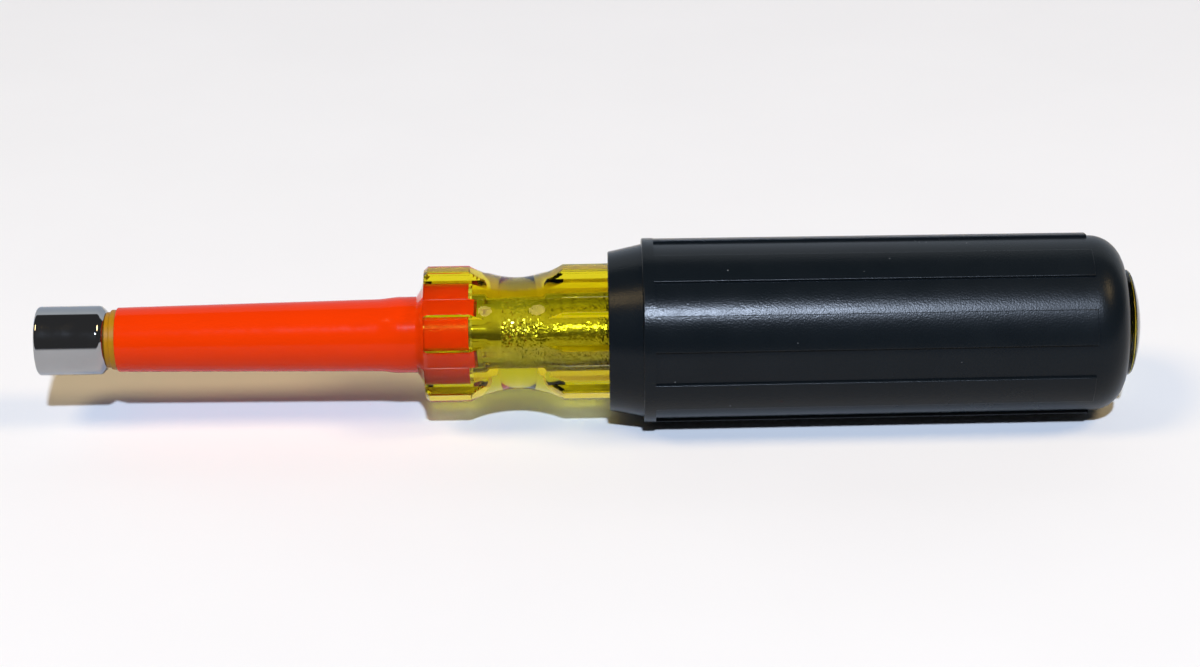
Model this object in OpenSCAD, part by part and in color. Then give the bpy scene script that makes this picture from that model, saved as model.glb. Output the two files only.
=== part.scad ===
// Insulated hex nut driver, lying along X with its socket's mouth at the origin, facing -X.
// A socket is brazed on a hollow shaft. Two layers of insulation cover the shaft up to a fluted,
// see-through handle, and a ribbed rubber cushion is slipped over the rear of the handle.
// Every piece is drawn upright on Z, mouth down, and then laid along X. Sizes are millimetres.

/* [Hex socket] */
// Nut size across the flats, 3/8 in
nut_af = 9.525; // [8:0.005:10]
// Play between a nut and the hexagon, across the flats
nut_play = 0.1; // [0.05:0.01:0.2]
// Depth of the hexagon behind the mouth
hex_depth = 9.5; // [7:0.1:11]
// Depth of the cone that leads a nut into the hexagon
hex_lead = 0.7; // [0.3:0.05:1.2]
// Outer diameter of the socket
socket_d = 13.54; // [13:0.02:16]
// Length of the straight part of the socket
socket_straight = 12.5; // [11.5:0.1:14]
// Length of the taper behind the straight part
socket_taper = 1.1; // [0.5:0.1:2]
// How much the taper takes off the radius
socket_taper_drop = 1.17; // [0.6:0.01:1.3]
// Radius of the rounded edge at the mouth
socket_edge_r = 0.6; // [0.2:0.05:0.8]

/* [Shaft] */
// Diameter of the hollow shaft, 3/8 in
shaft_d = 9.525; // [8.5:0.005:9.7]
// Diameter of the bore that clears long studs
stud_bore_d = 6.6; // [4:0.1:7]
// Length of the shaft inside the handle, behind the insulation
shaft_tail = 65.2; // [30:0.1:90]
// Length of smooth shaft between the insulation and the tail's grooves
tail_smooth = 5.9; // [2:0.1:15]
// Number of grooves that key the tail into the handle
tail_grooves = 24; // [12:1:36]
// Depth of a tail groove
tail_groove_depth = 0.3; // [0.1:0.05:0.5]

/* [Insulation] */
// Wall of the inner, yellow insulation
inner_wall = 1.14; // [0.9:0.02:1.6]
// Length of inner insulation that shows in front of the outer one
inner_show = 2; // [1:0.1:5]
// Length of the thinner lip at the front of the inner insulation
lip_len = 0.8; // [0.3:0.1:0.9]
// How much the lip's wall is thinner
lip_drop = 0.45; // [0.35:0.05:0.8]
// Wall of the outer, orange insulation at its front
outer_front_wall = 0.42; // [0.3:0.02:1]
// Wall of the outer insulation where its swelling starts
outer_mid_wall = 1.17; // [0.6:0.02:1.5]
// Wall of the outer insulation at the handle
outer_rear_wall = 1.56; // [1.2:0.02:2.2]
// Distance from the handle's front to where the swelling starts
swell_from = 9.7; // [7:0.1:20]
// Distance from the handle's front to where the swelling is full
swell_full = 5.2; // [3:0.1:6.5]
// How far both layers reach into the handle
layers_seat = 8.5; // [5:0.1:15]
// Gap between the layers' rear ends and the bottom of their seat
seat_gap = 0.7; // [0.2:0.1:1.5]
// Radius of the rounded front edges of both layers
layer_edge_r = 0.3; // [0.1:0.05:0.3]

/* [Seal bead] */
// Length of the resin bead along the outer insulation
bead_len = 1.9; // [1:0.1:2.8]
// Share of the step from the outer insulation to the handle's edge that the bead climbs
bead_share = 0.88; // [0.6:0.01:0.95]
// Thickness of the bead at its outer edge
bead_lip = 0.12; // [0.05:0.01:0.4]

/* [Handle] */
// Distance from the mouth to the handle's front face, 3 in
shank = 76.2; // [60:0.1:150]
// Overall length of the tool, 8 1/2 in
tool_len = 215.9; // [205:0.1:300]
// Diameter over the round lobes between the flutes
handle_d = 27.5; // [26:0.1:32]
// Bevel round the front face
handle_bevel = 0.7; // [0.3:0.05:1.2]
// Number of flutes along the handle
flute_count = 8; // [6:1:9]
// Share of the handle's diameter that a flute is wide at the lobes
flute_share = 0.271; // [0.23:0.001:0.29]
// Share of the handle's diameter that a flute's flat floor is wide
floor_share = 0.196; // [0.1:0.002:0.21]
// Share of the handle's diameter that a flute is deep
depth_share = 0.069; // [0.04:0.001:0.08]
// Turn of the flutes about the axis, in degrees
flute_roll = 19.5; // [0:0.5:45]
// Distance from the handle's front to the middle of the finger waist
waist_from_front = 17.8; // [14:0.1:22]
// Length of the waist
waist_len = 18.2; // [12:0.1:20]
// Depth of the waist
waist_depth = 2.8; // [1.5:0.05:3.2]
// Diameter of the butt that shows through the grip's end
butt_d = 20.8; // [16:0.1:22]
// How far the butt stands out of the grip's end
butt_show = 3.5; // [2.5:0.1:5]
// Height of the butt's dome
dome_h = 2.1; // [0.8:0.1:2.4]
// Radius of the handle's shoulder inside the grip
shoulder_r = 2.8; // [1:0.1:3]

/* [Cushion grip] */
// Distance from the handle's front face to the grip's nose
grip_from_front = 35.7; // [30:0.1:45]
// Rubber over the handle at the front of the nose
nose_wall = 1.85; // [1.2:0.05:3]
// Length of the nose
nose_len = 6.6; // [3:0.1:12]
// How much the nose grows in radius
nose_rise = 1.4; // [0.3:0.05:2]
// Length of the raised rim behind the nose
rim_len = 2.3; // [1:0.1:5]
// Rubber over the handle at the rim
rim_wall = 4.4; // [4:0.05:6]
// How far the soft rim is pressed flat where the tool lies on it
rim_flat = 0.12; // [0.05:0.01:0.3]
// Rubber over the handle between the ribs, behind the rim
body_front_wall = 3.75; // [3.3:0.05:4.1]
// Rubber over the handle between the ribs, at the rear corner
body_rear_wall = 3.45; // [3.3:0.05:4.1]
// Height of a rib above the rubber between the ribs
rib_h = 0.55; // [0.3:0.05:1]
// Number of ribs
rib_count = 8; // [6:1:12]
// Share of the grip's turn that the ribs take
rib_share = 0.5; // [0.3:0.05:0.7]
// Distance from the ribs' rear ends to the grip's end face
rib_end_gap = 7.1; // [6.5:0.1:12]
// Radius of the grip's rear corner
corner_r = 6.3; // [3.5:0.1:6.4]
// Rubber behind the handle's shoulder
end_wall = 3.1; // [2:0.1:5]

/* [Hidden] */
$fn = 96;

// How far cutting shapes run past what they cut
overrun = 1;
hex_sides = 6;

// Socket
hex_flat_r = (nut_af + nut_play) / 2;
hex_corner_r = hex_flat_r / cos(180 / hex_sides);
socket_r = socket_d / 2;
socket_len = socket_straight + socket_taper;
socket_tail_r = socket_r - socket_taper_drop;

// Shaft and its insulation, as radii and as stations along the axis
shaft_r = shaft_d / 2;
inner_r = shaft_r + inner_wall;
lip_r = inner_r - lip_drop;
lip_end = socket_len + lip_len;
outer_front_r = inner_r + outer_front_wall;
outer_mid_r = inner_r + outer_mid_wall;
outer_rear_r = inner_r + outer_rear_wall;
outer_start = socket_len + inner_show;
layers_end = shank + layers_seat;
shaft_end = layers_end + shaft_tail;
tail_groove_side = tail_groove_depth * sqrt(2);

// Handle
handle_r = handle_d / 2;
flute_w = handle_d * flute_share;
flute_floor_w = handle_d * floor_share;
flute_depth = handle_d * depth_share;
flute_floor_r = handle_r - flute_depth;
flute_edge_at = sqrt(pow(handle_r, 2) - pow(flute_w / 2, 2));
flute_cut = flute_depth + overrun;
flute_cut_w = flute_floor_w + (flute_w - flute_floor_w) * flute_cut / (flute_edge_at - flute_floor_r);
waist_at = shank + waist_from_front;
waist_arc_r = (pow(waist_len / 2, 2) + pow(waist_depth, 2)) / (2 * waist_depth);
butt_r = butt_d / 2;
dome_r = (pow(butt_r, 2) + pow(dome_h, 2)) / (2 * dome_h);
grip_end = tool_len - butt_show;
shoulder_at = grip_end - end_wall;

// Seal bead
bead_h = (handle_r - outer_rear_r) * bead_share;
bead_r = outer_rear_r + bead_h;
bead_sweep = bead_len - bead_lip;
bead_arc_r = (pow(bead_h, 2) + pow(bead_sweep, 2)) / (2 * bead_sweep);

// Cushion grip
nose_at = shank + grip_from_front;
rim_at = nose_at + nose_len;
body_at = rim_at + rim_len;
nose_front_r = handle_r + nose_wall;
nose_rear_r = nose_front_r + nose_rise;
rim_r = handle_r + rim_wall;
body_front_r = handle_r + body_front_wall;
body_rear_r = handle_r + body_rear_wall;
corner_at = grip_end - corner_r;
rib_end = grip_end - rib_end_gap;
rib_pitch = 360 / rib_count;
rib_angle = rib_pitch * rib_share;
rib_root_r = (handle_r + body_rear_r) / 2;

// Radius of the rubber between the ribs at a station along the axis
function body_r_at(z) =
    body_front_r + (body_rear_r - body_front_r) * (z - body_at) / (corner_at - body_at);

// Lays an upright shape along X, with its foot at the mouth
module along_x() {
    rotate([0, 90, 0]) children();
}

// Waste outside a rounded outer corner of a profile, for a corner at the origin
module corner_waste(r) {
    translate([-r, 0]) difference() {
        translate([0, -overrun]) square([r + overrun, r + overrun]);
        translate([0, r]) circle(r);
        translate([-overrun, r]) square([r + overrun, overrun]);
    }
}

module socket_profile() {
    difference() {
        polygon([
            [0, 0], [socket_r, 0], [socket_r, socket_straight],
            [socket_tail_r, socket_len], [0, socket_len],
        ]);
        translate([socket_r, 0]) corner_waste(socket_edge_r);
    }
}

module hex_socket() {
    color([0.78, 0.80, 0.82]) along_x() difference() {
        rotate_extrude() socket_profile();
        translate([0, 0, -overrun]) cylinder(r = hex_corner_r, h = hex_depth + overrun, $fn = hex_sides);
        cylinder(r1 = hex_corner_r, r2 = hex_flat_r, h = hex_lead);
        cylinder(r = shaft_r, h = socket_len + overrun);
    }
}

// Grooves run along the tail, so that the handle's resin keys into them
module tail_groove() {
    translate([shaft_r, 0, layers_end + tail_smooth])
        rotate([0, 0, 45])
        translate([-tail_groove_side / 2, -tail_groove_side / 2, 0])
        cube([tail_groove_side, tail_groove_side, shaft_tail - tail_smooth + overrun]);
}

module hollow_shaft() {
    color([0.62, 0.64, 0.66]) along_x() difference() {
        translate([0, 0, hex_depth]) cylinder(r = shaft_r, h = shaft_end - hex_depth);
        cylinder(r = stud_bore_d / 2, h = shaft_end + overrun);
        for (turn = [0 : tail_grooves - 1])
            rotate([0, 0, turn * 360 / tail_grooves]) tail_groove();
    }
}

module inner_insulation() {
    color([0.85, 0.62, 0.05]) along_x() rotate_extrude() difference() {
        polygon([
            [shaft_r, socket_len], [lip_r, socket_len], [lip_r, lip_end],
            [inner_r, lip_end], [inner_r, layers_end], [shaft_r, layers_end],
        ]);
        translate([inner_r, lip_end]) corner_waste(layer_edge_r);
    }
}

module outer_insulation() {
    color([0.96, 0.22, 0.03]) along_x() rotate_extrude() difference() {
        polygon([
            [inner_r, outer_start], [outer_front_r, outer_start],
            [outer_mid_r, shank - swell_from], [outer_rear_r, shank - swell_full],
            [outer_rear_r, layers_end], [inner_r, layers_end],
        ]);
        translate([outer_front_r, outer_start]) corner_waste(layer_edge_r);
    }
}

// Cutters for the handle's flutes, between two stations along the axis
module flutes(start, end) {
    for (turn = [0 : flute_count - 1])
        rotate([0, 0, flute_roll + turn * 360 / flute_count])
            translate([flute_floor_r, 0, start]) linear_extrude(end - start) polygon([
                [0, flute_floor_w / 2], [0, -flute_floor_w / 2],
                [flute_cut, -flute_cut_w / 2], [flute_cut, flute_cut_w / 2],
            ]);
}

// The bead's front is a hollow arc that ends square to the axis, and the flutes trim its edge
module seal_bead() {
    color([0.93, 0.90, 0.72, 0.6]) along_x() difference() {
        rotate_extrude() difference() {
            translate([outer_rear_r, shank - bead_len]) square([bead_h, bead_len]);
            translate([bead_r, shank - bead_lip - bead_arc_r]) circle(bead_arc_r);
        }
        flutes(shank - bead_len - overrun, shank + overrun);
    }
}

module handle_profile() {
    difference() {
        translate([0, shank]) square([handle_r, shoulder_at - shank]);
        translate([handle_r, shank]) polygon([
            [-handle_bevel - overrun, -overrun], [overrun, -overrun], [overrun, handle_bevel + overrun],
        ]);
        translate([handle_r - waist_depth + waist_arc_r, waist_at]) circle(waist_arc_r);
        translate([handle_r, shoulder_at]) mirror([0, 1]) corner_waste(shoulder_r);
    }
    intersection() {
        translate([0, waist_at]) square([butt_r, tool_len - waist_at]);
        translate([0, tool_len - dome_r]) circle(dome_r);
    }
}

// The handle as fluted and turned, before it is drilled
module fluted_bar() {
    difference() {
        rotate_extrude() handle_profile();
        flutes(shank - overrun, shoulder_at + overrun);
    }
}

module handle() {
    color([0.72, 0.66, 0.04, 0.6]) along_x() difference() {
        fluted_bar();
        translate([0, 0, shank - overrun]) cylinder(r = outer_rear_r, h = layers_seat + seat_gap + overrun);
        translate([0, 0, shank - overrun]) cylinder(r = shaft_r, h = shaft_end - shank + overrun);
    }
}

module grip_profile() {
    polygon([
        [0, nose_at], [nose_front_r, nose_at], [nose_rear_r, rim_at],
        [rim_r, rim_at], [rim_r, body_at], [body_front_r, body_at],
        [body_rear_r, corner_at], [body_rear_r - corner_r, grip_end], [0, grip_end],
    ]);
    translate([body_rear_r - corner_r, corner_at]) circle(corner_r);
}

module grip_rib() {
    rotate_extrude(angle = rib_angle) polygon([
        [rib_root_r, rim_at], [body_r_at(rim_at) + rib_h, rim_at],
        [body_r_at(rib_end) + rib_h, rib_end], [rib_root_r, rib_end],
    ]);
}

// Waste under the rim, down to the flat that the tool's weight presses into it
module rim_rest() {
    translate([rim_r - rim_flat, -rim_r, rim_at - overrun])
        cube([rim_flat + overrun, 2 * rim_r, rim_len + 2 * overrun]);
}

// A recess between two ribs faces down, so that the tool lies still
module cushion_grip() {
    color([0.09, 0.10, 0.11]) along_x() difference() {
        union() {
            rotate_extrude() grip_profile();
            for (turn = [0 : rib_count - 1])
                rotate([0, 0, (turn + 0.5) * rib_pitch - rib_angle / 2]) grip_rib();
        }
        rim_rest();
        fluted_bar();
    }
}

hex_socket();
hollow_shaft();
inner_insulation();
outer_insulation();
seal_bead();
handle();
cushion_grip();
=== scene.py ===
import math

import bmesh
import bpy
from mathutils import Matrix, Vector, noise


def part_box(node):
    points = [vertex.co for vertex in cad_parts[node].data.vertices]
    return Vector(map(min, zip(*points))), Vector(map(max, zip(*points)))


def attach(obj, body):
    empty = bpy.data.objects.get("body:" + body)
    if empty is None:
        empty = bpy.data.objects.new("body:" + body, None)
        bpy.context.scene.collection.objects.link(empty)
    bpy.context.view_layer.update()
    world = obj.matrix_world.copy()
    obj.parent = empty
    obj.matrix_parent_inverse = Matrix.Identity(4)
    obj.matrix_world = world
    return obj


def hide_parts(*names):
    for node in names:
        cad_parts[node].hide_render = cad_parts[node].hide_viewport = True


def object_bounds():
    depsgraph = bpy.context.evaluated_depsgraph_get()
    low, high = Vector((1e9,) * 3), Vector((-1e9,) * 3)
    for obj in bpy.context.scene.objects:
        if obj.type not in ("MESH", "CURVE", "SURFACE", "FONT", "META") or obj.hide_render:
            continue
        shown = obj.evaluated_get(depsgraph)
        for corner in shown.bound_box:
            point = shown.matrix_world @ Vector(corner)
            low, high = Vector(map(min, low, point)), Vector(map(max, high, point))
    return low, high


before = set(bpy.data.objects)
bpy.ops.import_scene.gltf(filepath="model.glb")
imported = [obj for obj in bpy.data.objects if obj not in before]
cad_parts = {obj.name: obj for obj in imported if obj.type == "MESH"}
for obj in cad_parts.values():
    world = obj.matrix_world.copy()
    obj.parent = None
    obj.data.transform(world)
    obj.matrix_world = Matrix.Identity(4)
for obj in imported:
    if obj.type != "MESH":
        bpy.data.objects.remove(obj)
cad_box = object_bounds()

# Hollow shaft.
# A 3/8 in steel tube that runs from the socket deep into the handle. It is drawn tube, smooth where
# the insulation sits on it, and its tail is roughened so that the handle's plastic keys into it.
MM = 0.001
weld = 0.0001 * MM


def turned(outline, steps, start=0.0):
    """Spins an outline of (station, radius) pairs round the tool's axis, from an angle off straight down.
    An outline that starts and ends on the axis isn't joined up, and any other is."""
    bm = bmesh.new()
    line = [bm.verts.new((x, 0, -radius)) for x, radius in outline]
    ends = [] if outline[0][1] == 0 and outline[-1][1] == 0 else [(line[-1], line[0])]
    edges = [bm.edges.new(pair) for pair in [*zip(line, line[1:]), *ends]]
    bmesh.ops.rotate(bm, verts=line, cent=(0, 0, 0), matrix=Matrix.Rotation(start, 3, "X"))
    bmesh.ops.spin(
        bm, geom=line + edges, cent=(0, 0, 0), axis=(1, 0, 0), angle=math.tau, steps=steps, use_merge=True)
    bmesh.ops.remove_doubles(bm, verts=bm.verts, dist=weld)
    bmesh.ops.recalc_face_normals(bm, faces=bm.faces)
    return bm


def radius_of(vert):
    """How far a point lies from the tool's axis."""
    return math.hypot(vert.co.y, vert.co.z)


def angle_of(vert):
    """A point's angle about the axis, from straight down towards the far side."""
    return math.atan2(vert.co.y, -vert.co.z)


def set_radius(vert, radius):
    """Moves a point straight out from or in to the axis."""
    share = radius / radius_of(vert)
    vert.co.y *= share
    vert.co.z *= share


def ease(bm, edges, size, segments):
    """Rounds these edges."""
    bmesh.ops.bevel(bm, geom=edges, offset=size, segments=segments, profile=0.5, affect="EDGES", material=-1)


def round_rings(bm, rings, size, segments=4):
    """Rounds the sharp edges that run round the axis at these (station, radius) pairs."""
    close = 0.002 * MM
    picked = []
    for edge in bm.edges:
        for x, radius in rings:
            if all(abs(v.co.x - x) < close and abs(radius_of(v) - radius) < close for v in edge.verts):
                picked.append(edge)
    ease(bm, picked, size, segments)


def finish(name, values):
    """A new material, with its plain values set on its shader's own sockets."""
    material = bpy.data.materials.new(name)
    material.use_nodes = True
    shader = material.node_tree.nodes["Principled BSDF"]
    for socket, value in values.items():
        shader.inputs[socket].default_value = value
    return material, shader


def node(owner, kind, inputs, **settings):
    """Adds a node to a material or the world. An input is a plain value or another node's output."""
    tree = owner.node_tree
    made = tree.nodes.new(kind)
    for name, value in settings.items():
        setattr(made, name, value)
    for socket, value in inputs.items():
        if isinstance(value, bpy.types.NodeSocket):
            tree.links.new(value, made.inputs[socket])
        else:
            made.inputs[socket].default_value = value
    return made


def place_on(material, stretch=(1, 1, 1)):
    """The point of the piece that a pattern is read at, stretched along the axes where that is asked."""
    spot = node(material, "ShaderNodeTexCoord", {}).outputs["Object"]
    return node(material, "ShaderNodeMapping", {"Vector": spot, "Scale": stretch}).outputs["Vector"]


def place_along(material, axis):
    """How far a point of the piece lies along an axis."""
    return node(material, "ShaderNodeSeparateXYZ", {"Vector": place_on(material)}).outputs[axis]


def speckle(material, size, detail=2, stretch=(1, 1, 1)):
    """Random mottling from 0 to 1 whose patches have about this size."""
    return node(material, "ShaderNodeTexNoise", {
        "Vector": place_on(material, stretch), "Scale": 1 / size, "Detail": detail}).outputs["Fac"]


def ramp(material, value, low, high, to_low, to_high):
    """Maps a value between two limits onto two others."""
    limits = {"From Min": low, "From Max": high, "To Min": to_low, "To Max": to_high}
    return node(material, "ShaderNodeMapRange", {"Value": value, **limits}).outputs["Result"]


def reckon(material, operation, first, second):
    """Works out one number from two."""
    return node(material, "ShaderNodeMath", {0: first, 1: second}, operation=operation).outputs[0]


def tint(material, share, first, second):
    """Mixes two colours by a share. A colour is three plain numbers or another node's output."""
    ends = [c if isinstance(c, bpy.types.NodeSocket) else (*c, 1) for c in (first, second)]
    return node(material, "ShaderNodeMix", {0: share, 6: ends[0], 7: ends[1]}, data_type="RGBA").outputs[2]


def wire(material, output, shader, socket):
    """Joins a node's output to one of the shader's sockets."""
    material.node_tree.links.new(output, shader.inputs[socket])


def relief(material, shader, height, depth):
    """Fine relief of a real depth on the surface, which is too small to model."""
    bump = node(material, "ShaderNodeBump", {"Height": height, "Strength": 1.0, "Distance": depth})
    wire(material, bump.outputs["Normal"], shader, "Normal")


def tool_piece(bm, name, material, cad_node, sharp=35):
    """Makes a mesh a piece of the tool that stands for its CAD node.
    Edges past the sharp angle stay crisp."""
    mesh = bpy.data.meshes.new(name)
    bm.to_mesh(mesh)
    bm.free()
    mesh.materials.append(material)
    mesh.shade_smooth()
    mesh.set_sharp_from_angle(angle=math.radians(sharp))
    piece = bpy.data.objects.new(name, mesh)
    bpy.context.scene.collection.objects.link(piece)
    piece.modifiers.new("even_shading", "WEIGHTED_NORMAL").keep_sharp = True
    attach(piece, "root")
    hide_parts(cad_node)
    return piece


shaft_low, shaft_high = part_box("hollow_shaft")
shaft_r = 4.7625 * MM
stud_bore_r = 3.3 * MM
tail_from = 90.6 * MM
tail_step = 0.24 * MM
tail_depth = 0.12 * MM
coarse_to = 97 * MM
fine_over = 4 * MM
fine_share = 0.5
facet = 0.05 * MM
tail_shown = 114 * MM
plain_step = 30 * MM
hidden_steps = 30

stations = [shaft_low.x, shaft_low.x + plain_step, tail_from - plain_step, tail_from - tail_step]
while stations[-1] < tail_shown:
    stations.append(stations[-1] + tail_step)
stations += [tail_shown + (shaft_high.x - tail_shown) * k / hidden_steps for k in range(1, hidden_steps + 1)]
outline = [(x, shaft_r) for x in stations] + [(shaft_high.x, stud_bore_r), (shaft_low.x, stud_bore_r)]
bm = turned(outline, 124)
for v in bm.verts:
    if v.co.x >= tail_from and radius_of(v) > shaft_r - 0.01 * MM:
        coarse = 1 - fine_share * min(max((v.co.x - coarse_to) / fine_over, 0), 1)
        set_radius(v, shaft_r - tail_depth * coarse * (0.5 + 0.5 * noise.cell(v.co / facet)))

steel, shader = finish("shaft_steel", {"Metallic": 1.0})
drawn_lines = speckle(steel, 0.25 * MM, 3, (0.05, 1, 1))
keyed = ramp(steel, place_along(steel, "X"), tail_from - 0.2 * MM, tail_from, 0, 0.10)
smooth = ramp(steel, drawn_lines, 0.3, 0.7, 0.05, 0.09)
stained = tint(steel, speckle(steel, 1.6 * MM), (0.52, 0.52, 0.51), (0.32, 0.32, 0.31))
wire(steel, stained, shader, "Base Color")
wire(steel, reckon(steel, "ADD", smooth, keyed), shader, "Roughness")
relief(steel, shader, drawn_lines, 0.002 * MM)
tool_piece(bm, "shaft", steel, "hollow_shaft", sharp=6)

# Hex socket.
# The chrome-plated steel socket at the tool's front. It is turned, its hexagon is broached with a
# coned lead that leaves scallops on the flats, and it is brazed on the end of the shaft.
socket_low, socket_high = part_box("hex_socket")
socket_r = 6.77 * MM
socket_straight = 12.5 * MM
socket_tail_r = 5.60 * MM
hex_flat = 4.8125 * MM
hex_corner = hex_flat / math.cos(math.pi / 6)
hex_depth = 9.5 * MM
lead_depth = 0.7 * MM
mouth_round = 0.6 * MM
shoulder_round = 0.45 * MM
tail_round = 0.25 * MM

outline = [
    (0, hex_corner), (0, socket_r), (socket_straight, socket_r), (socket_high.x, socket_tail_r),
    (socket_high.x, shaft_r), (hex_depth, shaft_r),
    (hex_depth, hex_corner - 0.01 * MM), (lead_depth, hex_corner - 0.02 * MM)]
bm = turned(outline, 144)
round_rings(bm, [(0, socket_r)], mouth_round, 6)
round_rings(bm, [(socket_straight, socket_r)], shoulder_round)
round_rings(bm, [(socket_high.x, socket_tail_r)], tail_round)
for v in bm.verts:
    broached = 0 < v.co.x <= hex_depth and hex_corner - 0.03 * MM < radius_of(v) < hex_corner - 0.005 * MM
    if broached:
        off = (angle_of(v) + math.pi / 6) % (math.pi / 3) - math.pi / 6
        wall = hex_flat / math.cos(math.pi / 6 - abs(off))
        if v.co.x < hex_depth - 0.01 * MM:
            v.co.x = lead_depth * (hex_corner - wall) / (hex_corner - hex_flat) + 0.002 * MM
        set_radius(v, wall - 0.0005 * MM)

chrome, shader = finish("chrome_plate", {"Metallic": 1.0})
smudge = speckle(chrome, 4 * MM, 4)
wire(chrome, tint(chrome, smudge, (0.36, 0.365, 0.375), (0.31, 0.315, 0.325)), shader, "Base Color")
wire(chrome, ramp(chrome, smudge, 0.35, 0.75, 0.03, 0.11), shader, "Roughness")
relief(chrome, shader, speckle(chrome, 0.5 * MM, 2, (1, 0.2, 0.2)), 0.0012 * MM)
tool_piece(bm, "socket", chrome, "hex_socket")

# Inner insulation.
# The first insulating layer, yellow plastic moulded straight on the shaft. Only its front end shows,
# as a ring with a thinner lip between the socket and the orange sleeve.
inner_low, inner_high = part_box("inner_insulation")
inner_r = 5.9025 * MM
lip_r = 5.4525 * MM
lip_to = 14.4 * MM
ring_round = 0.3 * MM

outline = [(inner_low.x, shaft_r), (inner_low.x, lip_r), (lip_to, lip_r), (lip_to, inner_r),
           (inner_high.x, inner_r), (inner_high.x, shaft_r)]
bm = turned(outline, 128)
round_rings(bm, [(lip_to, inner_r)], ring_round)

yellow, shader = finish("yellow_insulation", {"Specular IOR Level": 0.2})
cloudy = tint(yellow, speckle(yellow, 2 * MM), (0.42, 0.20, 0.002), (0.35, 0.16, 0.002))
wire(yellow, cloudy, shader, "Base Color")
wire(yellow, ramp(yellow, speckle(yellow, 0.8 * MM), 0.3, 0.7, 0.32, 0.5), shader, "Roughness")
relief(yellow, shader, speckle(yellow, 0.3 * MM), 0.004 * MM)
tool_piece(bm, "inner_layer", yellow, "inner_insulation")

# Outer insulation.
# The second insulating layer, a glossy orange plastic sleeve over the first. It swells slowly from
# the socket to a plain thicker end that is seated in the handle.
sleeve_low, sleeve_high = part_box("outer_insulation")
sleeve_r = [6.3225 * MM, 7.0725 * MM, 7.4625 * MM]
swell_at = 66.5 * MM
swell_length = 4.5 * MM

outline = [(sleeve_low.x, inner_r), (sleeve_low.x, sleeve_r[0])]
for k in range(1, 13):
    share = k / 12
    x = sleeve_low.x + (swell_at - sleeve_low.x) * share
    outline.append((x, sleeve_r[0] + (sleeve_r[1] - sleeve_r[0]) * share))
for k in range(1, 9):
    share = k / 8
    rise = share * share * (3 - 2 * share)
    outline.append((swell_at + swell_length * share, sleeve_r[1] + (sleeve_r[2] - sleeve_r[1]) * rise))
outline += [(sleeve_high.x, sleeve_r[2]), (sleeve_high.x, inner_r)]
bm = turned(outline, 128)
round_rings(bm, [(sleeve_low.x, sleeve_r[0])], ring_round)

orange, shader = finish("orange_insulation", {"Specular IOR Level": 0.11})
flow = speckle(orange, 3 * MM, 3, (0.3, 1, 1))
wire(orange, tint(orange, flow, (0.78, 0.038, 0.0005), (0.72, 0.034, 0.0005)), shader, "Base Color")
wire(orange, ramp(orange, speckle(orange, 1.2 * MM, 3), 0.3, 0.7, 0.12, 0.17), shader, "Roughness")
relief(orange, shader, speckle(orange, 0.6 * MM, 3, (0.4, 1, 1)), 0.004 * MM)
tool_piece(bm, "outer_sleeve", orange, "outer_insulation")

# Handle.
# A bar of see-through amber cellulose plastic. It is milled with eight flat-floored flutes, turned down
# to a finger waist and a domed butt, and drilled from the front for the insulated shaft.
handle_low, handle_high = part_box("handle")
bar_r = 13.75 * MM
flutes = 8
pitch = math.tau / flutes
first_flute = math.radians(19.5)
flute_half = 3.72625 * MM
floor_half = 2.695 * MM
floor_at = 11.8525 * MM
front_bevel = 0.7 * MM
waist_at = 94.0 * MM
waist_half = 9.1 * MM
waist_depth = 2.8 * MM
waist_arc = (waist_half ** 2 + waist_depth ** 2) / (2 * waist_depth)
shoulder_at = 209.3 * MM
shoulder_fillet = 2.8 * MM
butt_r = 10.4 * MM
butt_round = 0.5 * MM
dome_height = 2.1 * MM
worn_edge = 0.15 * MM
bite = 0.03 * MM
tail_bite = 0.3 * MM
seat_end = 85.4 * MM
shown_to = 116.5 * MM
columns = 64


def bar_radius(x):
    """The turned bar's radius at a station, before the flutes are milled."""
    if x < handle_low.x + front_bevel:
        return bar_r - (handle_low.x + front_bevel - x)
    if abs(x - waist_at) < waist_half:
        return bar_r - waist_depth + waist_arc - math.sqrt(waist_arc ** 2 - (x - waist_at) ** 2)
    over = x - (shoulder_at - shoulder_fillet)
    if over > 0:
        return bar_r - shoulder_fillet + math.sqrt(max(shoulder_fillet ** 2 - over ** 2, 0))
    return bar_r


wall_end = Vector((math.sqrt(bar_r ** 2 - flute_half ** 2), flute_half))
wall_start = Vector((floor_at, floor_half))
wall_turn = math.pi / 2 - math.atan2(*reversed(wall_end - wall_start))
wall_at = wall_start.length * math.cos(math.atan2(floor_half, floor_at) + wall_turn)


def off_flute(angle):
    """The turn from the middle of the nearest flute to an angle."""
    return (angle - first_flute + pitch / 2) % pitch - pitch / 2


def milled_radius(x, angle):
    """The bar's radius with its flutes, whose edges are a little worn."""
    off = abs(off_flute(angle))
    bar, flute = bar_radius(x), max(floor_at / math.cos(off), wall_at / math.cos(off + wall_turn))
    share = max(worn_edge - abs(bar - flute), 0) / worn_edge
    return min(bar, flute) - share * share * worn_edge / 4


def draw_to_edges(vert, x):
    """Turns a point about the axis onto an edge of a flute that runs close by at this station."""
    off, bar = off_flute(angle_of(vert)), bar_radius(x)
    edges = [math.acos(min(floor_at / bar, 1))]
    if bar > wall_start.length:
        edges = [math.atan2(floor_half, floor_at), math.acos(wall_at / bar) - wall_turn]
    for edge in edges:
        if abs(abs(off) - edge) < pitch / columns / 2:
            vert.co = Matrix.Rotation(math.copysign(edge, off) - off, 3, "X") @ vert.co
            return


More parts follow.
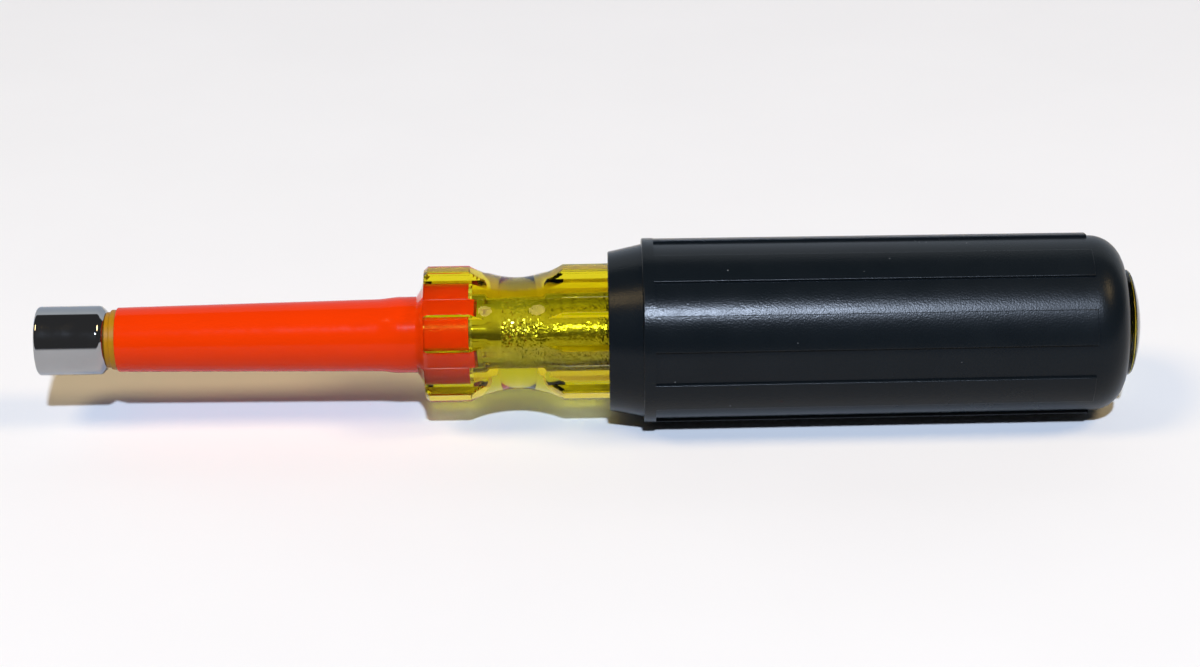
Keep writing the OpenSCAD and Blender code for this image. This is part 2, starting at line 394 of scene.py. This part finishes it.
stations = [handle_low.x + front_bevel * k / 4 for k in range(5)]
stations += [handle_low.x + front_bevel + k * MM for k in range(1, 8)]
stations += [waist_at + waist_half * k / 40 for k in range(-41, 42)]
stations += [(104.6 + k) * MM for k in range(10)]
stations += [(116 + 10 * k) * MM for k in range(10)]
stations += [shoulder_at - shoulder_fillet * (1 - math.sin(math.radians(a))) for a in range(0, 91, 15)]
butt_edge = handle_high.x - dome_height
dome_r = (butt_r ** 2 + dome_height ** 2) / (2 * dome_height)
outline = [(x, bar_radius(x)) for x in stations] + [(shoulder_at, butt_r), (butt_edge, butt_r)]
for k in range(1, 13):
    r = butt_r * (1 - k / 12)
    outline.append((handle_high.x - dome_r + math.sqrt(dome_r ** 2 - r ** 2), r))
outline = [(shaft_high.x, 0), (shaft_high.x, shaft_r - tail_bite), (tail_from, shaft_r - tail_bite),
           (tail_from - 0.4 * MM, shaft_r - bite), (seat_end, shaft_r - bite),
           (seat_end, sleeve_r[2] - bite), (handle_low.x, sleeve_r[2] - bite)] + outline
bm = turned(outline, columns * flutes, first_flute)
round_rings(bm, [(butt_edge, butt_r)], butt_round)
for v in bm.verts:
    if v.co.x < shoulder_at + 0.01 * MM and radius_of(v) > butt_r + 0.01 * MM:
        draw_to_edges(v, v.co.x)
        set_radius(v, milled_radius(v.co.x, angle_of(v)))
bm.normal_update()
lobe_edges = []
for edge in bm.edges:
    start, end = sorted(v.co.x for v in edge.verts)
    shown = handle_low.x + front_bevel < end < shown_to
    off_waist = min(abs(start - waist_at), abs(end - waist_at)) > waist_half
    lengthwise = end - start > 0.9 * edge.calc_length()
    if shown and off_waist and lengthwise and radius_of(edge.verts[0]) > wall_start.length:
        if edge.is_convex and edge.calc_face_angle() > math.radians(25):
            lobe_edges.append(edge)
ease(bm, lobe_edges, worn_edge, 3)
bmesh.ops.remove_doubles(bm, verts=bm.verts, dist=weld)


def clear_finish(name, colour, density, roughness):
    """See-through plastic: clear at its surface, with a colour that deepens with its thickness.
    Light from the lamps is let through to what is inside, and little of it goes on to what is behind."""
    material, shader = finish(name, {
        "Base Color": (1, 1, 1, 1), "Transmission Weight": 1.0, "IOR": 1.48, "Roughness": roughness,
        "Specular Tint": (0.42, 0.42, 0.42, 1)})
    output = material.node_tree.nodes["Material Output"]
    lamp_ray = node(material, "ShaderNodeLightPath", {}).outputs["Is Shadow Ray"]
    from_inside = node(material, "ShaderNodeNewGeometry", {}).outputs["Backfacing"]
    share = reckon(material, "MULTIPLY", lamp_ray, ramp(material, from_inside, 0, 1, 0.02, 1))
    passing = node(material, "ShaderNodeBsdfTransparent", {"Color": (0.60, 0.60, 0.90, 1)}).outputs[0]
    both = node(material, "ShaderNodeMixShader", {0: share, 1: shader.outputs[0], 2: passing}).outputs[0]
    depth = node(material, "ShaderNodeVolumeAbsorption", {
        "Color": (*colour, 1), "Density": density}).outputs[0]
    material.node_tree.links.new(both, output.inputs["Surface"])
    material.node_tree.links.new(depth, output.inputs["Volume"])
    return material, shader


amber, shader = clear_finish("amber_plastic", (0.945, 0.907, 0.0), 300, 0.0)
wire(amber, ramp(amber, speckle(amber, 5 * MM, 4), 0.45, 0.75, 0.0, 0.04), shader, "Roughness")
relief(amber, shader, speckle(amber, 1.5 * MM, 2, (0.3, 1, 1)), 0.003 * MM)
tool_piece(bm, "handle_bar", amber, "handle", sharp=30)

# Seal bead.
# A fillet of clear resin that closes the joint between the sleeve and the handle's front. It was
# poured in place, so it climbs both surfaces in a hollow curve and ends in the handle's flutes.
bead_low, bead_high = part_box("seal_bead")
bead_r = 12.9955 * MM
bead_lip = 0.12 * MM
bead_sweep = bead_high.x - bead_lip - bead_low.x
bead_rise = bead_r - sleeve_r[2]
bead_arc = (bead_rise ** 2 + bead_sweep ** 2) / (2 * bead_sweep)

outline = [(bead_low.x, sleeve_r[2] - bite)]
for k in range(15):
    x = bead_low.x + bead_sweep * (1 - (1 - k / 14) ** 2)
    drop = max(bead_arc ** 2 - (x - bead_low.x - bead_sweep + bead_arc) ** 2, 0)
    outline.append((x, max(bead_r - math.sqrt(drop), sleeve_r[2] + 0.005 * MM)))
outline += [(bead_high.x + bite, bead_r), (bead_high.x + bite, sleeve_r[2] - bite)]
bm = turned(outline, columns * flutes, first_flute)
for v in bm.verts:
    if radius_of(v) > sleeve_r[2] + 0.5 * MM:
        draw_to_edges(v, waist_at - waist_half)
        set_radius(v, min(radius_of(v), milled_radius(waist_at - waist_half, angle_of(v))))

resin, shader = clear_finish("clear_resin", (0.96, 0.92, 0.20), 450, 0.03)
relief(resin, shader, speckle(resin, 1.2 * MM, 2), 0.05 * MM)
tool_piece(bm, "front_bead", resin, "seal_bead", sharp=50)

# Cushion grip.
# A soft black rubber cushion, moulded in one piece and slipped over the fluted bar from the butt. It
# has a tapered nose, a raised rim and eight low ribs, and its fine grain comes from the mould.
grip_low, grip_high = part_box("cushion_grip")
nose_r = [15.6 * MM, 17.0 * MM]
rim_from = 118.5 * MM
rim_to = 120.8 * MM
rim_r = 18.15 * MM
body_r = [17.5 * MM, 17.2 * MM]
body_to = 206.1 * MM
corner = 6.3 * MM
ribs = 8
rib_half = math.radians(11.25)
rib_height = 0.55 * MM
rib_to = 205.3 * MM
rib_round = 0.16 * MM
rim_round = 0.3 * MM
lip_round = 0.25 * MM
air_film = 0.02 * MM
hole_r = butt_r + air_film
near = 0.001 * MM


def body_radius(x):
    """The grip's radius between its ribs at a station."""
    return body_r[0] + (body_r[1] - body_r[0]) * (x - rim_to) / (body_to - rim_to)


outline = [(grip_low.x, nose_r[0]), (rim_from, nose_r[1]), (rim_from, rim_r),
           (rim_to, rim_r), (rim_to, body_r[0] + rib_height)]
stations = [rim_to + (rib_to - rim_to) * k / 20 for k in range(21)] + [body_to]
outline += [(x, body_radius(x)) for x in stations]
for a in range(10, 91, 10):
    turn = math.radians(a)
    outline.append((body_to + corner * math.sin(turn), body_r[1] - corner + corner * math.cos(turn)))
outline.append((grip_high.x, hole_r))
outline.append((shoulder_at + air_film, hole_r))
outline.append((shoulder_at + air_film, bar_radius(shoulder_at) + air_film))
inside = [shoulder_at - shoulder_fillet * (1 - math.sin(math.radians(a))) for a in range(75, -1, -15)]
inside += [190 * MM, 160 * MM, 130 * MM, grip_low.x]
outline += [(x, bar_radius(x) + air_film) for x in inside]
bm = turned(outline, 480)


def within_rib(face):
    """Whether a face of the grip lies within the angle of one of the ribs."""
    centre = face.calc_center_median()
    return abs(math.atan2(centre.y, -centre.z) % (math.tau / ribs) - math.pi / ribs) < rib_half


def reach(face):
    """How far a face's middle lies from the axis."""
    centre = face.calc_center_median()
    return math.hypot(centre.y, centre.z)


raised = [face for face in bm.faces if within_rib(face) and body_r[1] - rib_height < reach(face) < body_r[0]
          and all(rim_to - near < v.co.x < rib_to + near for v in face.verts)
          and any(v.co.x > rim_to + near for v in face.verts)]
for part in bmesh.ops.extrude_face_region(bm, geom=raised)["geom"]:
    if isinstance(part, bmesh.types.BMVert):
        set_radius(part, radius_of(part) + rib_height)
bmesh.ops.delete(bm, geom=raised, context="FACES")
doubled = [face for face in bm.faces if within_rib(face) and body_r[0] < reach(face) < body_r[0] + rib_height
           and all(abs(v.co.x - rim_to) < near for v in face.verts)]
bmesh.ops.delete(bm, geom=doubled, context="FACES")
bmesh.ops.remove_doubles(bm, verts=bm.verts, dist=weld)
bmesh.ops.recalc_face_normals(bm, faces=bm.faces)
bm.normal_update()
crests = []
for edge in bm.edges:
    high = all(radius_of(v) > body_radius(v.co.x) + 0.9 * rib_height for v in edge.verts)
    behind = all(rim_to - near < v.co.x < rib_to + near for v in edge.verts)
    at_rim = all(abs(v.co.x - rim_to) < near for v in edge.verts)
    if high and behind and not at_rim and edge.is_manifold and edge.calc_face_angle() > math.radians(40):
        crests.append(edge)
ease(bm, crests, rib_round, 3)
round_rings(bm, [(rim_from, rim_r)], rim_round)
round_rings(bm, [(grip_low.x, nose_r[0]), (grip_high.x, hole_r)], lip_round)
for v in bm.verts:
    v.co.z = max(v.co.z, grip_low.z)
    if v.co.x < shoulder_at and radius_of(v) < bar_r + 2 * air_film:
        set_radius(v, milled_radius(v.co.x, angle_of(v)) + air_film)
bmesh.ops.remove_doubles(bm, verts=bm.verts, dist=weld)

rubber, shader = finish("black_rubber", {"Specular IOR Level": 0.14})
dust = node(rubber, "ShaderNodeTexVoronoi", {"Vector": place_on(rubber), "Scale": 1 / (2.6 * MM)})
sparse = node(rubber, "ShaderNodeSeparateColor", {"Color": dust.outputs["Color"]}).outputs["Red"]
fleck = ramp(rubber, dust.outputs["Distance"], 0.03, 0.06, 1, 0)
dotted = reckon(rubber, "MULTIPLY", fleck, ramp(rubber, sparse, 0.84, 0.86, 0, 0.5))
bloom = tint(rubber, speckle(rubber, 12 * MM, 4), (0.0036, 0.0058, 0.0078), (0.0066, 0.0094, 0.0120))
wire(rubber, tint(rubber, dotted, bloom, (0.40, 0.42, 0.44)), shader, "Base Color")
dulled = ramp(rubber, place_along(rubber, "X"), rim_to, body_to, 0, 0.09)
gloss = ramp(rubber, speckle(rubber, 6 * MM, 4), 0.3, 0.7, 0.19, 0.23)
wire(rubber, reckon(rubber, "ADD", gloss, dulled), shader, "Roughness")
relief(rubber, shader, speckle(rubber, 0.35 * MM, 2), 0.03 * MM)
tool_piece(bm, "rubber_cushion", rubber, "cushion_grip")

# Table.
# A plain white table top, which carries the tool and takes its shadow. Its front, under the brightest light,
# is painted darker as painted shade, and darker still in what the tool mirrors, as a painted dark room.
table_half = 3.0
bm = bmesh.new()
bmesh.ops.create_grid(bm, x_segments=2, y_segments=2, size=table_half)
bmesh.ops.translate(bm, verts=bm.verts, vec=(0, 0, cad_box[0].z))
mesh = bpy.data.meshes.new("table_top")
bm.to_mesh(mesh)
bm.free()
white, shader = finish("white_table", {"Roughness": 0.9, "Specular IOR Level": 0.0})
mottled = tint(white, speckle(white, 40 * MM, 3), (0.90, 0.90, 0.90), (0.87, 0.87, 0.87))
seen_by = node(white, "ShaderNodeLightPath", {})
# Painted shade: the table's front turns a darker grey, and darker still where glossy rays from the tool see
# it.
front = tint(white, seen_by.outputs["Is Camera Ray"], (0.15, 0.15, 0.15), (0.58, 0.58, 0.58))
painted_front_shade = tint(white, ramp(white, place_along(white, "Y"), -0.45, -0.13, 1, 0), mottled, front)
shade = tint(white, seen_by.outputs["Diffuse Depth"], painted_front_shade, (0.60, 0.60, 0.60))
wire(white, shade, shader, "Base Color")
mesh.materials.append(white)
table = bpy.data.objects.new("table_top", mesh)
bpy.context.scene.collection.objects.link(table)

# Light.
# One small cool lamp on the camera's side, two softer warm lamps overhead to the left and the right, and
# a dim room whose far side is paler, so that the chrome and the rubber have something to mirror.
middle = Vector((0.11, 0, 0))


def lamp(name, place, size, watts, colour):
    """A round lamp that is turned to the tool's middle."""
    data = bpy.data.lights.new(name, "AREA")
    data.shape, data.size, data.energy, data.color = "DISK", size, watts, colour
    made = bpy.data.objects.new(name, data)
    made.location = place
    made.rotation_euler = (middle - Vector(place)).to_track_quat("-Z", "Y").to_euler()
    made.visible_transmission = False
    bpy.context.scene.collection.objects.link(made)


lamp("key_lamp", (0.25, -2.55, 2.75), 0.18, 152, (0.665, 0.785, 1.0))
lamp("left_lamp", (-0.70, -0.42, 1.42), 0.6, 8.4, (1.0, 0.73, 0.36))
lamp("right_lamp", (1.22, -0.42, 1.42), 0.6, 9.3, (1.0, 0.73, 0.36))

room = bpy.data.worlds.new("dim_room")
room.use_nodes = True
bpy.context.scene.world = room
facing = node(room, "ShaderNodeTexCoord", {}).outputs["Generated"]
split = node(room, "ShaderNodeSeparateXYZ", {"Vector": facing})
side, height = split.outputs["Y"], split.outputs["Z"]
wall = tint(room, ramp(room, side, 0.55, 0.95, 0, 1), (0.92, 0.97, 1.0), (0.60, 0.68, 0.79))
path = node(room, "ShaderNodeLightPath", {})
scattered = path.outputs["Diffuse Depth"]
through = reckon(room, "MULTIPLY", path.outputs["Is Transmission Ray"], ramp(room, scattered, 0, 1, 1, 0))
lift = reckon(room, "ADD", side, height)
glow = tint(room, ramp(room, lift, -0.6, 0.7, 0, 1), (0.20, 0.20, 0.19), (1.25, 1.25, 1.21))
near_side = tint(room, through, (0.060, 0.060, 0.062), glow)
colour = tint(room, ramp(room, side, 0.52, 0.57, 0, 1), near_side, wall)
background = room.node_tree.nodes["Background"]
wire(room, colour, background, "Color")
wire(room, ramp(room, scattered, 0, 1, 1, 0.45), background, "Strength")

# Camera.
# It looks along the table from in front, a little rolled, as the photograph was taken.
rise = math.radians(25.5)
roll = math.radians(1.0)
distance = 0.589
aim = Vector((0.1102, 0, 0))
drop = 0.00043
level, up = Vector((1, 0, 0)), Vector((0, math.sin(rise), math.cos(rise)))
back = Vector((0, -math.cos(rise), math.sin(rise)))
right = math.cos(roll) * level - math.sin(roll) * up
top = math.sin(roll) * level + math.cos(roll) * up
eye = aim - drop * top + distance * back
data = bpy.data.cameras.new("camera")
data.lens, data.sensor_width, data.sensor_fit = 90, 36, "HORIZONTAL"
camera = bpy.data.objects.new("camera", data)
camera.matrix_world = Matrix.Translation(eye) @ Matrix((right, top, back)).transposed().to_4x4()
bpy.context.scene.collection.objects.link(camera)
bpy.context.scene.camera = camera
bpy.context.scene.view_settings.view_transform = "Standard"
